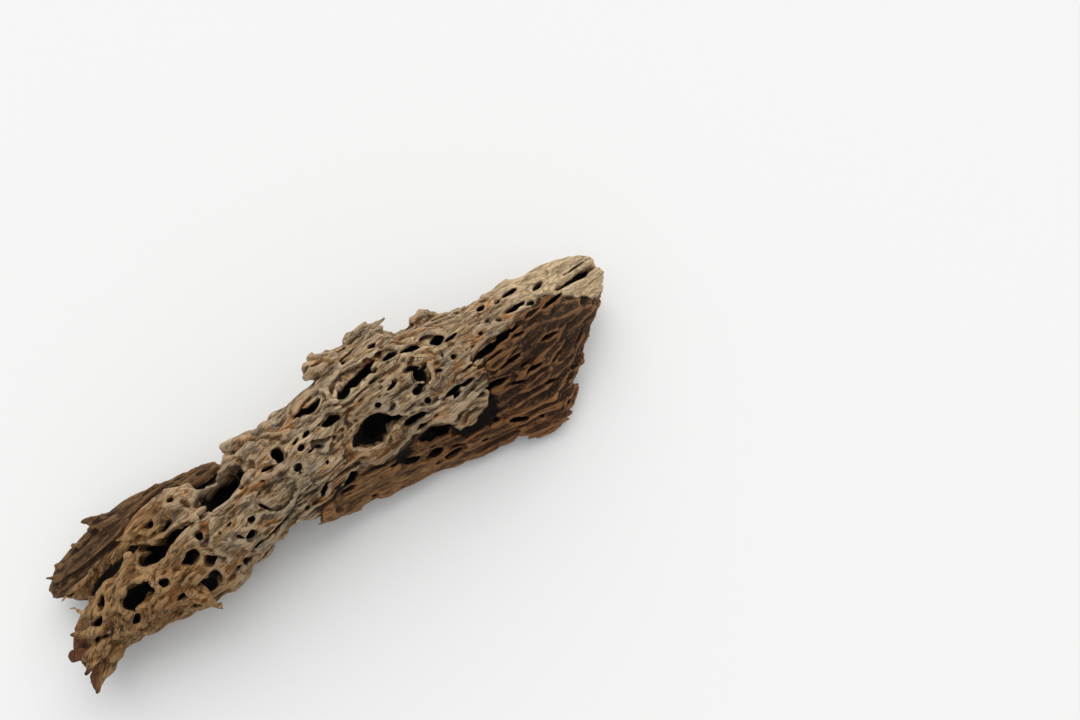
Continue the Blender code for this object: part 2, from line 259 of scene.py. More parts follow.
SHELL_EDGE = [(-260, -60), (-60, -46), (-42, -34), (-20, -31), (0.5, -26), (8, -32.5), (15.5, -36),
              (26, -37), (32, -34), (45.5, -35), (52, -37), (62, -38.5), (70, -44), (74, -56),
              (84, -57.5), (94, -56), (104, -52), (112, -45), (120, -31), (127, -20), (150, -17),
              (175, -15), (194, -17), (206, -28), (222, -44), (240, -50), (260, -52)]
LEDGE = [(-125, -29), (-112, -27), (-102, -24), (-91, -21.8), (-79, -21.2), (-66, -19.5), (-55, -17),
         (-45, -12.2), (-34, -16.6), (-21, -20), (-8, -19.3), (4, -20.7), (12, -24)]
BAND_TURN = -14.0
BAND_TURN_UP = -3.0
BAND_MIDDLE = (115.0, -55.0, 50.0)
# The line on the sight plane above which the band's fibres turn and its colour gets painted shade.
BAND_SHADE = [(-60, 20), (20, -36), (50, -49), (75, -57), (99, -61), (130, -80), (165, -88), (200, -70),
              (230, -52), (260, -40)]
SLAB_TURN = 3.0

outside_tree = BVHTree.FromPolygons(outside_spots.tolist(), outside_quads.tolist())


def unit(vector):
    """A vector's direction, one millimetre long."""
    return vector / np.linalg.norm(vector)


def outward(place):
    """The direction out of the wood, over a stretch of a few millimetres."""
    offsets = np.eye(3) * 5.0
    return unit(sampled(envelope, place + offsets) - sampled(envelope, place - offsets))


def line_of_sight(place):
    """Where the camera's line of sight through a place of the sight plane meets the wood, and its way."""
    start = Vector(eye.tolist())
    sight = (Vector((*place, SIGHT_PLANE)) - start).normalized()
    hit, _, _, _ = outside_tree.ray_cast(start, sight)
    return hit, sight


DEEPEST_TUNNEL = 30.0
DEEPEST_SLOT = 16.0


def tunnel_depth(length, width):
    """How deep a borer's tunnel goes in, in millimetres, for a mouth of this size."""
    return min(1.4 * math.sqrt(length * width) + 7, DEEPEST_TUNNEL)


def slot_depth(length, width):
    """How deep a slot between two parted fibres is, in millimetres."""
    return min(2.0 * width + 5, DEEPEST_SLOT)


SEEDS = (1000, 9000)
GRAZING = 0.38
mouths = []


def place_seen(rows, blend, point, depth_of, bowl, draw):
    """Places mouths that are given on the sight plane, each facing the camera as it was read."""
    chance = np.random.default_rng(draw)
    for x, y, length, width, turn in rows:
        lean = chance.uniform(0.1, 0.5) * chance.choice((-1, 1))
        seed = int(chance.integers(*SEEDS))
        hit, sight = line_of_sight((x, y))
        if hit is None:
            continue
        place = np.array(hit)
        normal = outward(place)
        sight = np.array(sight)
        facing = -(normal @ sight)
        if facing < GRAZING:
            normal = unit(normal - sight * 0.5)
        grow = (SIGHT_PLANE - eye[2]) / (place[2] - eye[2])
        right = np.array((1, 0, -sight[0] / sight[2])) * grow
        up = np.array((0, 1, -sight[1] / sight[2])) * grow
        angle = math.radians(turn)
        mouths.append({
            "place": place, "normal": normal, "lean": lean, "blend": blend, "seed": seed, "bowl": bowl,
            "inward": unit(0.8 * sight - 0.5 * normal),
            "long_axis": math.cos(angle) * right + math.sin(angle) * up,
            "wide_axis": math.cos(angle) * up - math.sin(angle) * right,
            "length": length, "width": width, "depth": depth_of(length, width),
            "point": point if length > 1.6 * width else 2.0, "stretch": 1 / max(facing, GRAZING)})


place_seen(FOOT_MOUTHS, blend=2.2, point=1.8, depth_of=tunnel_depth, bowl=3.0, draw=51)
place_seen(SHELL_MOUTHS, blend=0.5, point=1.6, depth_of=tunnel_depth, bowl=2.2, draw=52)
place_seen(BAND_SLOTS, blend=0.5, point=1.5, depth_of=slot_depth, bowl=0.0, draw=53)


# The rest of the mouths: the borers left them all round the log, about a finger's breadth apart, so the
# sides that the camera doesn't see get theirs at random, with no two closer than that.
DARTS = 7000
HOLE_SIZE = (9.0, 6.0)
SLOT_SIZE = (15.0, 3.4)
SPREAD = (0.5, 1.4)
SPACING = (9.5, 15.0)
LEANING = (-0.8, 0.8)
STRETCH = (0.8, 1.6)
TURN_SPREAD = 14.0
CLEAR_OF_FLOOR = 3.0
NEAR_OUTSIDE = 6.0
SOUND_FROM = 205.0
SEEN_TO = 140.0
SEEN_FACING = 0.30


def on_sight_plane(points):
    """Where the camera's lines of sight to these points cross the sight plane."""
    share = (SIGHT_PLANE - eye[2]) / (points[:, 2] - eye[2])
    return (eye[0] + (points[:, 0] - eye[0]) * share, eye[1] + (points[:, 1] - eye[1]) * share)


chance = np.random.default_rng(77)
triangle = corners[faces]
edge_a = triangle[:, 1] - triangle[:, 0]
edge_b = triangle[:, 2] - triangle[:, 0]
area = np.linalg.norm(np.cross(edge_a, edge_b), axis=1)
picked = chance.choice(len(faces), DARTS, p=area / area.sum())
first = chance.random(DARTS)
second = chance.random(DARTS)
over = first + second > 1
first[over] = 1 - first[over]
second[over] = 1 - second[over]
darts = triangle[picked, 0] + edge_a[picked] * first[:, None] + edge_b[picked] * second[:, None]
dart_u, dart_v = on_sight_plane(darts)
taken = np.array([mouth["place"] for mouth in mouths])
for place, du, dv in zip(darts, dart_u, dart_v):
    size = chance.uniform(*SPREAD)
    wish = chance.uniform(*SPACING)
    lean = chance.uniform(*LEANING)
    turn = chance.normal(0, TURN_SPREAD)
    stretch = chance.uniform(*STRETCH)
    seed = int(chance.integers(*SEEDS))
    nearest = np.min(np.linalg.norm(taken - place, axis=1))
    if place[2] < CLEAR_OF_FLOOR or nearest < wish:
        continue
    if abs(sampled(envelope, place[None])[0]) > NEAR_OUTSIDE or place[0] > SOUND_FROM:
        continue
    normal = outward(place)
    if -(normal @ unit(place - eye)) > SEEN_FACING and du < SEEN_TO:
        continue
    on_band = dv < np.interp(du, *zip(*SHELL_EDGE)) and normal[1] < 0.3
    on_slab = place[1] > 34 and place[0] < -70 and place[2] < 46
    on_fibres = on_band or on_slab
    if on_fibres:
        if nearest < 1.5 * wish:
            continue
        length, width = SLOT_SIZE[0] * size, SLOT_SIZE[1] * size
        turn = (BAND_TURN if on_band else SLAB_TURN) + 0.4 * turn
    else:
        length, width = HOLE_SIZE[0] * size * stretch, HOLE_SIZE[1] * size
    angle = math.radians(turn)
    grain = np.array((math.cos(angle), math.sin(angle), 0.0))
    long_axis = unit(grain - normal * (grain @ normal))
    mouths.append({
        "place": place, "normal": normal, "lean": lean, "blend": 0.8, "seed": seed, "inward": -normal,
        "bowl": 0.0 if on_fibres else 2.2,
        "long_axis": long_axis, "wide_axis": np.cross(normal, long_axis),
        "length": length, "width": width,
        "depth": slot_depth(length, width) if on_fibres else min(1.8 * width + 6, 18),
        "point": 1.7, "stretch": 1.0})
    taken = np.vstack([taken, place])


# The weathered surface: growth layers that have split off in scales, ridges that follow the grain round
# each mouth, and on the -Y flank and the slab the long fibres laid bare.
SKIN_DEPTH = 8.0
GROOVE = [(-240, 42), (-210, 43), (-197, 44), (-181, 46), (-166, 49), (-154, 55), (-140, 58),
          (-130, 55), (-116, 56), (-109, 54), (-104, 44), (-90, 42), (-78, 44), (-70, 90), (260, 90)]


def turned(points, degrees):
    """Points turned about Z, so that a grain at this angle runs along their first axis."""
    c = math.cos(math.radians(degrees))
    s = math.sin(math.radians(degrees))
    return np.stack([points[:, 0] * c + points[:, 1] * s, points[:, 1] * c - points[:, 0] * s,
                     points[:, 2]], axis=1)


def crested(points, cell, seed):
    """Sharp crests with round valleys between them, from 0 in the valleys to 1 on the crests."""
    return 1 - np.abs(rough(points, cell, seed))


def swerved(points):
    """Points moved across so that a straight line along X in them follows the grain, which turns away
    to -Y towards the end, and more sharply at the foot."""
    x = points[:, 0]
    shift = 0.0009 * np.clip(x - 60, 0, 110) ** 2 + 0.198 * np.clip(x - 170, 0, None)
    shift = shift + 0.0067 * np.clip(-150 - x, 0, 60) ** 2 + 0.80 * np.clip(-210 - x, 0, None)
    return points + shift[:, None] * np.array((0, 1, 0), np.float32)


def parts(points):
    """How much each point belongs to the band of bare fibres, to the slab and to the sound end."""
    u, v = on_sight_plane(points)
    edge = np.interp(u, *zip(*SHELL_EDGE)) + 2.4 * rough(points, (8, 40, 40), 14)
    edge = edge + 1.2 * rough(points, (3.5, 30, 30), 15)
    slab = eased(v - np.interp(u, *zip(*GROOVE)), -1, 2) * eased(points[:, 2], 56, 50)
    band = eased(edge - v, -0.5, 0.5) * (1 - slab)
    end = eased(points[:, 0] + 24 * rough(points, (50, 9, 9), 91) + 0.25 * v, 150, 205)
    return u, v, edge, band, slab, end


def band_grain(points, u, v):
    """Points turned so that their first axis follows the band's fibres, which lie flatter at its foot."""
    local = points - np.array(BAND_MIDDLE, np.float32)
    flat = turned(local, BAND_TURN)
    return flat + (turned(local, BAND_TURN_UP) - flat) * shaded(u, v)[:, None]


def shaded(u, v):
    """1 on the band's upper part, which gets painted shade, 0 on its lower part, on the sight plane."""
    return eased(v - np.interp(u, *zip(*BAND_SHADE)), -3, 6)


def window_at(place, half):
    """The first and last grid steps of a box round a place."""
    centre = np.round((place - origin) / VOXEL).astype(int)
    half = int(math.ceil(half / VOXEL))
    start = np.clip(centre - half, 0, np.array(skin.shape) - 1)
    stop = np.clip(centre + half + 1, 1, skin.shape)
    return start, stop, tuple(slice(a, b) for a, b in zip(start, stop))


def measured(start, stop, place, direction):
    """How far each grid point of a box lies from a place along a direction."""
    steps = [(np.arange(start[k], stop[k]) * VOXEL + origin[k] - place[k]) * direction[k] for k in range(3)]
    return (steps[0][:, None, None] + steps[1][:, None] + steps[2]).astype(np.float32)


def in_millimetres(steps):
    """The places of grid points that are given by their steps."""
    return (steps * VOXEL + origin).astype(np.float32)


# The grain parts and closes round each mouth: how far it is pushed aside, in millimetres.
PUSH = -0.5
pushed = np.zeros((3,) + skin.shape, np.float32)
for mouth in mouths:
    reach = 1.3 * max(mouth["length"], 2.2 * mouth["width"])
    start, stop, box = window_at(mouth["place"], reach)
    across = unit(mouth["wide_axis"])
    s = measured(start, stop, mouth["place"], unit(mouth["long_axis"]) / (0.75 * mouth["length"]))
    t = measured(start, stop, mouth["place"], across)
    away = measured(start, stop, mouth["place"], mouth["normal"])
    round_it = np.maximum(s ** 2 + (t / (0.75 * mouth["width"])) ** 2, 1)
    far = np.sqrt((s * 0.75 * mouth["length"]) ** 2 + t ** 2 + away ** 2) / reach
    shift = PUSH * (t / round_it) * np.clip(1.2 - far, 0, 1)
    for k in range(3):
        pushed[(k,) + box] += shift * np.float32(across[k])


# Below, the heights and depths are in millimetres, and a bump's three sizes are its length along the grain
# and its widths across it. What is added wears the wood away, and what is taken off builds it up.
WARP = np.array((5.0, 3.0, 3.0), np.float32)
SCALE_SPACING = 16.0
SCALE_DEPTH = 1.8
PATCH_DEPTH = 2.4
SCALLOP_DEPTH = 1.3
PIT_DEPTH = 2.6
BAND_DEPTH = 1.4
SHADED_BAND_DEPTH = 3.4
LIP_DEPTH = 9.0
LEDGE_DEPTH = 2.0
UNDER_LEDGE_DEPTH = 4.5

near = np.flatnonzero(np.abs(skin.ravel()) < SKIN_DEPTH)
points = in_millimetres(np.stack(np.unravel_index(near, skin.shape), axis=1))
u, v, shell_edge, band, slab, end = parts(points)
shell = (1 - band) * (1 - slab)
foot = eased(points[:, 0], -95, -130)
flow = swerved(points + pushed.reshape(3, -1)[:, near].T)
warp = np.stack([rough(points, (26, 12, 12), 11), rough(points, (22, 10, 10), 12),
                 rough(points, (22, 10, 10), 13)], axis=1)
bent = flow + warp * WARP
straight = points + 0.5 * warp * WARP

lumps = 1.7 * rough(points, (30, 18, 18), 21) + 0.9 * rough(points, (13, 9, 9), 22)
phase = 1.7 * rough(bent, (46, 16, 16), 23) + 0.8 * rough(bent, (19, 7, 7), 24) - v / SCALE_SPACING
scale = phase - np.floor(phase)
shingle = scale - eased(scale, 0.93, 1.0)
patchy = eased(rough(points, (34, 22, 22), 27), -0.35, 0.35)
scallops = 1 - (cells(bent, (27, 13, 13), 81) / 0.6) ** 2
pits = eased(-cells(bent, (10, 6, 6), 85), -0.30, -0.17)
lumps = lumps * (1 - 0.6 * end)
shell = shell * (1 - 0.85 * end)
shell_wear = lumps + shell * ((SCALE_DEPTH + PATCH_DEPTH * patchy) * shingle * (1 - 0.6 * foot)
                              + (SCALLOP_DEPTH - 0.8 * foot) * scallops
                              + (PIT_DEPTH - 1.4 * foot) * pits * patchy)

along_band = band_grain(straight, u, v)
fibres = (3.4 * crested(along_band, (120, 6.4, 6.4), 31) ** 2 + 1.8 * crested(along_band, (70, 3.0, 3.0), 32)
          + 1.4 * rough(along_band, (90, 12, 12), 34))
along_slab = turned(straight, SLAB_TURN)
boards = 3.0 * crested(along_slab, (95, 6.5, 6.5), 33) ** 2 + 1.6 * crested(along_slab, (60, 3.0, 3.0), 35)
along_end = swerved(straight)
flakes = 2.4 * crested(along_end, (110, 8, 8), 36) ** 2 + 1.0 * crested(along_end, (60, 3.2, 3.2), 37)

fade = eased(u, -45, -10) * eased(u, 118, 100)
gap = shell_edge - v
lip = 0.5 + 0.5 * rough(points, (16, 12, 12), 38)
undercut = ((BAND_DEPTH + SHADED_BAND_DEPTH * fade) * band
            + LIP_DEPTH * lip * fade * eased(gap, -0.6, 0.8) * eased(gap / (0.3 + lip), 14, 3))
below = np.interp(u, *zip(*LEDGE)) + 1.6 * rough(points, (7, 30, 30), 16) - v
under_ledge = eased(u, -112, -98) * eased(u, 12, 2) * eased(below, -0.6, 0.8) * (1 - band)
undercut += under_ledge * (LEDGE_DEPTH + UNDER_LEDGE_DEPTH * eased(below, 14, 3))

wear = shell_wear + undercut - band * (1 - 0.5 * end) * fibres - slab * boards - end * flakes + 0.9
wear += 1.2 * (band + slab) + 0.6 * end
worn = skin.ravel()
worn[near] += wear.astype(np.float32)
skin = worn.reshape(skin.shape)


# The tunnels: each mouth sits in a shallow worn bowl, and where two bowls meet they leave a sharp rim.
# Behind it the tunnel leans one way along the grain as it goes in.
def smooth_larger(first, second, blend):
    """The larger of two distances, with the corner between them rounded."""
    overlap = np.maximum(blend - np.abs(first - second), 0) / blend
    return np.maximum(first, second) + overlap * overlap * blend / 4


def carve(mouth, length, width, depth, lean, blend, ragged, uneven, above):
    """Eats one hollow into the grid."""
    place, normal, seed, point = mouth["place"], mouth["normal"], mouth["seed"], mouth["point"]
    half = 0.75 * max(length, width) * mouth["stretch"] + 0.6 * depth * (1 + abs(lean)) + 4
    start, stop, box = window_at(place, half)
    window = skin[box]
    grain = unit(mouth["long_axis"] - normal * (mouth["long_axis"] @ normal))
    axis = unit(lean * grain + mouth["inward"])
    slide = normal / (axis @ normal)
    long_axis = (mouth["long_axis"] - slide * (axis @ mouth["long_axis"])) / (length / 2)
    wide_axis = (mouth["wide_axis"] - slide * (axis @ mouth["wide_axis"])) / (width / 2)
    long_way = measured(start, stop, place, long_axis)
    wide_way = measured(start, stop, place, wide_axis)
    inside = measured(start, stop, place, -normal)
    thin = min(width / 2, depth)
    loose = 1 + 4 / thin
    chosen = (np.abs(long_way) < loose) & (np.abs(wide_way) < loose)
    chosen &= (inside < depth * loose) & (window < 5)
    local = in_millimetres(np.stack(np.nonzero(chosen), axis=1) + start) + seed
    bay = (0.9 * width + 2, 0.6 * width + 1.5, 0.6 * width + 1.5)
    a = np.abs(long_way[chosen] + uneven * rough(local, bay, 63))
    b = np.abs(wide_way[chosen] + uneven * rough(local, bay, 64))
    deep = np.maximum(inside[chosen] / depth, -(inside[chosen] + 2) / above)
    shape = np.sqrt((a ** point + b ** point) ** (2 / point) + deep ** 2) - 1
    gap = shape * thin
    gap += ragged * rough(local, (0.8 * width + 2, 0.5 * width + 1, 0.5 * width + 1), 61)
    gap += 0.5 * ragged * rough(local, (3.4, 2.2, 2.2), 62)
    window[chosen] = smooth_larger(window[chosen], -gap, blend)


for mouth in mouths:
    if mouth["bowl"]:
        wide = 1.7 * mouth["width"] + 5
        carve(mouth, 1.5 * mouth["length"] + 6, wide, mouth["bowl"], lean=0.0, blend=0.3, ragged=0.6,
              uneven=0.25, above=3.0)
WIDEST = 500.0
for mouth in mouths:
    ragged = min(0.16 * mouth["width"], 1.8)
    uneven = min(0.06 * mouth["width"], 0.50 if mouth["length"] * mouth["width"] < WIDEST else 0.2)
    carve(mouth, mouth["length"], mouth["width"], mouth["depth"], lean=mouth["lean"],
          blend=mouth["blend"], ragged=ragged, uneven=uneven, above=12.0)


# What stands out beyond the old surface: points of splintered wood, hooks and broken webs at the foot, on
# the slab and along the crest. Each is given on the sight plane: (root, tip, root radius, tip radius).
SPLINTERS = [((-208, 21), (-220, 35), 4.0, 0.8), ((-213, 8), (-230, 19), 5.0, 0.8),
             ((-216, -5), (-233, 3), 6.0, 4.6), ((-212, -12), (-232, -22.5), 9.5, 5.0),
             ((-217, -7), (-232, -12), 6.0, 3.0), ((-143, -19), (-135, -41), 7.5, 1.8),
             ((-148, -15), (-138, -30), 4.0, 1.0), ((66, 57), (89, 53), 5.5, 0.9),
             ((56, 58), (74, 60), 5.5, 3.0), ((28, 51), (14, 56), 7.0, 4.8), ((33, 54), (18, 61), 6.5, 5.0),
             ((38, 56), (25, 66), 6.0, 3.5),
             ((-50, 45), (-66, 54), 8.5, 4.5), ((-53, 39), (-71, 44), 7.0, 2.5),
             ((-156, 64), (-174, 82), 2.6, 0.7), ((-206, 54), (-218, 61), 4.5, 1.5),
             ((-206, 47), (-223, 48), 4.5, 1.2), ((-200, 42), (-218, 40), 4.0, 0.9),
             ((-192, 43), (-208, 41), 3.5, 0.9), ((-203, 58), (-212, 70), 4.0, 1.2),
             ((-186, 64), (-198, 76), 4.0, 1.0),
             ((-183, 17), (-164, 35), 5.5, 4.0), ((-154, 46.5), (-166, 49.5), 5.5, 1.2),
             ((-113, 27), (-99, 28.5), 4.5, 1.0), ((104, 36), (124, 36), 5.0, 1.4),
             ((-33, 45), (-44, 49), 5.5, 1.6), ((-147, -24.5), (-113, -31), 3.4, 2.8)]
FLATNESS = 0.62


def box_points(start, window):
    """The places of all grid points of a box, in millimetres."""
    return in_millimetres(np.stack(np.indices(window.shape), axis=-1).reshape(-1, 3) + start)


def off_spine(local, first, second):
    """How far along the line between two places each point lies, from 0 to 1, and its way off the line."""
    spine = second - first
    along = np.clip((local - first) @ spine / (spine @ spine), 0, 1)
    return along, local - first - along[:, None] * spine


for root, tip, wide, narrow in SPLINTERS:
    hit, sight = line_of_sight(root)
    if hit is None:
        continue
    hit += sight * 0.6 * wide
    share = (hit.z - eye[2]) / (SIGHT_PLANE - eye[2])
    foot_end = np.array(hit)
    far_end = eye + (np.array((*tip, SIGHT_PLANE)) - eye) * share
    middle = (foot_end + far_end) / 2
    start, stop, box = window_at(middle, np.linalg.norm(far_end - foot_end) / 2 + wide + 3)
    window = skin[box]
    local = box_points(start, window)
    local += np.stack([rough(local, (7, 7, 7), 71 + k) for k in range(3)], axis=1) * 1.4
    along, off = off_spine(local, foot_end, far_end)
    toward = off @ np.array(sight)
    off_square = np.einsum("ij,ij->i", off, off) - toward ** 2 + (toward / FLATNESS) ** 2
    solid = np.sqrt(np.maximum(off_square, 0)) - (wide + (narrow - wide) * along)
    solid += 1.6 * rough(local, (6, 3, 3), 74) + 0.6
    window[...] = -smooth_larger(-window.reshape(-1), -solid.astype(np.float32), 2.0).reshape(window.shape)


# Where one plate of the old outside ends over another, the weather has undercut its edge: a narrow gully
# runs along it. Each is a line on the sight plane.
PLATE_EDGES = [[(-103, 22), (-111, 18), (-117, 10), (-120, 2), (-119, -7), (-116, -18), (-111, -27)],
               [(-64, 42), (-63, 34), (-57, 25), (-50, 19)]]
GULLY = 3.2
GULLY_DEPTH = 2.5
for line in PLATE_EDGES:
    spots_on_wood = []
    for place in line:
        hit, sight = line_of_sight(place)
        if hit is not None:
            spots_on_wood.append(np.array(hit + sight * GULLY_DEPTH))
    for first_spot, second_spot in zip(spots_on_wood, spots_on_wood[1:]):
        middle = (first_spot + second_spot) / 2
        start, stop, box = window_at(middle, np.linalg.norm(second_spot - first_spot) / 2 + 9)
        window = skin[box]
        local = box_points(start, window)
        _, off = off_spine(local, first_spot, second_spot)
        hollow = np.sqrt(np.einsum("ij,ij->i", off, off)) - GULLY - 2.4 * rough(local, (6, 5, 5), 76)
        eaten = smooth_larger(window.reshape(-1), -hollow.astype(np.float32), 0.6)
        window[...] = eaten.reshape(window.shape)


# The two broken ends: the wood was torn off across its grain, and the fibres parted at different lengths,
# so each end is a brush of short splinters.
END_BREAK = 251.0
FOOT_BREAK = -250.0
BREAK_REACH = 34.0
STEPS = 5


def broken_short(local, broad, fine, fine_share, seed):
    """How far short each fibre broke off, from 0 to 1.3, in steps, since fibres part in bundles."""
    uneven = 0.5 + 0.6 * rough(local, broad, seed) + fine_share * rough(local, fine, seed + 1)
    return np.clip(np.floor(uneven * STEPS) / STEPS, 0, 1.3)


for side, limit, deep in ((1, END_BREAK, 13.0), (-1, FOOT_BREAK, 9.0)):
    rows = np.flatnonzero(grid_x * side > limit * side - BREAK_REACH)
    window = skin[rows[0]:rows[-1] + 1]
    local = box_points((rows[0], 0, 0), window)
    cut = (local[:, 0] - limit) * side + deep * broken_short(local, (60, 8, 8), (40, 3, 3), 0.3, 41)
    window[...] = np.maximum(window.reshape(-1), 0.7 * cut).reshape(window.shape)


# The band's own end: its bare fibres don't reach the end of the log. They run out on the -Y flank one
# after another, in steps, along a line that crosses them.
BAND_END = (np.array((162.0, -87.0, 0.0)), np.array((249.0, -34.0, 0.0)))
BAND_END_BOX = np.array(((120.0, -105.0, -5.0), (258.0, 0.0, 80.0)))
BAND_END_DEPTH = 15.0
BAND_END_START = (120.0, 150.0)
run = unit(BAND_END[1] - BAND_END[0])
outward_end = np.array((run[1], -run[0], 0.0))
start, stop = np.round((BAND_END_BOX - origin) / VOXEL).astype(int)
start = np.maximum(start, 0)
stop = np.minimum(stop, skin.shape)
window = skin[tuple(slice(a, b) for a, b in zip(start, stop))]
local = box_points(start, window)
short = broken_short(turned(local, BAND_TURN), (90, 9, 9), (60, 3.4, 3.4), 0.35, 45)
cut = (local - BAND_END[0]) @ outward_end + BAND_END_DEPTH * short - 2
cut -= 30 * (1 - eased(local[:, 0], *BAND_END_START))
window[...] = np.maximum(window.reshape(-1), 0.6 * cut.astype(np.float32)).reshape(window.shape)


# Where the log rests, its underside is worn flat and stands on the floor. Then the weather softens the
# whole surface a little, which rounds what is thinner than a millimetre.
SOFTENED = 0.25
grid_z = np.arange(skin.shape[2]) * VOXEL + origin[2]
skin = np.maximum(skin, -grid_z.astype(np.float32)[None, None, :])
skin = blurred(skin, 1, 1) * SOFTENED + skin * (1 - SOFTENED)


# The log's surface: the skin of the carved grid as one closed mesh, thinned where it is plain. The crumbs
# that the borers cut loose have fallen away, so only the largest part is kept.
TRIANGLES = 196000
FIELD_REACH = 3.0
CREASE_ANGLE = 38.0
field = np.clip(skin, -FIELD_REACH, FIELD_REACH)
grid = openvdb.FloatGrid(FIELD_REACH)
grid.copyFromArray(field, ijk=(0, 0, 0), tolerance=0.0)
spots, quads = grid.convertToQuads(isovalue=0.0)
spots = spots.astype(np.float64) * VOXEL + origin
quads = quads.astype(np.int64)

part_of = np.arange(len(spots))
joined = None
while joined is None or not np.array_equal(joined, part_of):
    if joined is not None:
        part_of = joined
    least = part_of[quads].min(axis=1)
    joined = part_of.copy()
    for corner in range(4):
        np.minimum.at(joined, quads[:, corner], least)
    joined = joined[joined]
    joined = joined[joined]
separate_parts, counts = np.unique(part_of, return_counts=True)
kept = part_of == separate_parts[np.argmax(counts)]
renumber = np.cumsum(kept) - 1
quads = renumber[quads[kept[quads[:, 0]]]]
spots = spots[kept]

centre_first = spots[quads[:, 0]]
area_vector = np.cross(spots[quads[:, 2]] - centre_first, spots[quads[:, 3]] - spots[quads[:, 1]])
volume_sign = np.einsum("ij,ij->i", area_vector, centre_first).sum()
if volume_sign < 0:
    quads = quads[:, ::-1]

log_mesh = bpy.data.meshes.new("honeycomb_log")
log_mesh.vertices.add(len(spots))
log_mesh.vertices.foreach_set("co", (spots / TO_MM).astype(np.float32).ravel())
log_mesh.loops.add(quads.size)
log_mesh.loops.foreach_set("vertex_index", quads.astype(np.int32).ravel())
log_mesh.polygons.add(len(quads))
log_mesh.polygons.foreach_set("loop_start", np.arange(0, quads.size, 4, dtype=np.int32))
log_mesh.update(calc_edges=True)
log_mesh.validate()
log = bpy.data.objects.new("honeycomb_log", log_mesh)
bpy.context.scene.collection.objects.link(log)

bpy.ops.object.select_all(action="DESELECT")
log.select_set(True)
bpy.context.view_layer.objects.active = log
thin = log.modifiers.new("thin", "DECIMATE")
thin.ratio = min(1.0, TRIANGLES / (2.0 * len(quads)))
bpy.ops.object.modifier_apply(modifier="thin")
bpy.ops.object.shade_smooth_by_angle(angle=math.radians(CREASE_ANGLE))


# What the weather did to its colour, and the painted shade, kept on the mesh: how deep a point lies below
# the old outside and how open it lies, for the painted shade in tunnels and hollows; how far it stands out
# as a crest;
# which part of the log it belongs to, with painted shade on the band's upper part; and its place along and
# across the grain.
DARK_BELOW = 12.0
points = np.empty(len(log.data.vertices) * 3, np.float32)
log.data.vertices.foreach_get("co", points)
points = points.reshape(-1, 3) * TO_MM
solid = np.clip(0.5 - skin, 0, 1)
crest_fine = 0.5 - sampled(blurred(solid, 2), points)
crest_broad = 0.5 - sampled(blurred(solid, 6), points)
crest_wide = 0.5 - sampled(blurred(solid, 12), points)
depth = -sampled(envelope, points)
u, v, _, band, slab, end = parts(points)
flow = points + np.stack([sampled(pushed[k], points) for k in range(3)], axis=1)
shell_grain = swerved(flow)
grain = shell_grain + (band_grain(flow, u, v) - shell_grain) * band[:, None]
grain += (turned(flow, SLAB_TURN) - shell_grain) * slab[:, None]


def keep_value(name, values):
    """Stores one number for each point of the log's mesh, for its material."""
    layer = log.data.attributes.new(name, "FLOAT", "POINT")
    layer.data.foreach_set("value", values.astype(np.float32))


grain_layer = log.data.attributes.new("grain", "FLOAT_VECTOR", "POINT")
grain_layer.data.foreach_set("vector", grain.astype(np.float32).ravel())
# Crests are made paler, partly bleached wear and partly painted highlight; the valleys between are made
# darker, partly dirt and partly painted shade.
keep_value("crest", np.clip(0.5 + 2.2 * crest_fine, 0, 1))
# How open and how deep each point lies: they set the painted shade, darker in hollows, near-black in
# tunnels.
openness = np.clip(0.5 + crest_broad + crest_wide, 0, 1)
keep_value("open", openness)
keep_value("depth", np.clip(depth / DARK_BELOW, 0, 1) * (1 - 0.5 * eased(openness, 0.30, 0.46)))
keep_value("band", band)
keep_value("slab", slab)
keep_value("pale_band", eased(-u, -95, -20))
# Painted shade on the band's upper part, under the shell's lip.
keep_value("painted_shade", band * shaded(u, v) * eased(u, 36, 64))
keep_value("foot", eased(-points[:, 0], 96, 150) * (1 - slab))
band_keeps = 0.9 * (1 - 0.6 * eased(points[:, 0] + 6 * rough(points, (5, 9, 9), 93), 226, 250))
keep_value("end", end * (1 - band_keeps * band))
broken = 16 * rough(points, (30, 9, 9), 92)
keep_value("rust", 0.9 * eased(-points[:, 0] + broken, 226, 240) * (1 - 0.4 * slab))


# Weathered driftwood: sound brown wood inside, bleached grey-beige where light reaches, near-black painted
# shade in the tunnels and darker painted shade in the hollows, and no gloss at all. Its real fibres are
# about 0.3 mm wide, too fine to show from where the log is seen, so the finest grain is drawn at about 1 mm.
def linear(code):
    """An sRGB hex value as a linear colour."""
    channels = [int(code[i:i + 2], 16) / 255 for i in (0, 2, 4)]
    return [c / 12.92 if c <= 0.04045 else ((c + 0.055) / 1.055) ** 2.4 for c in channels] + [1.0]


driftwood = bpy.data.materials.new("weathered_driftwood")
driftwood.use_nodes = True
nodes = driftwood.node_tree.nodes
links = driftwood.node_tree.links
shader = nodes["Principled BSDF"]


def node(kind, settings=(), values=(), sources=()):
    """Adds a node: its settings, its sockets' values, and the links into its sockets."""
    item = nodes.new(kind)
    for name, value in dict(settings).items():
        setattr(item, name, value)
    for name, value in dict(values).items():
        item.inputs[name].default_value = value
    for name, source in dict(sources).items():
        links.new(source, item.inputs[name])
    return item


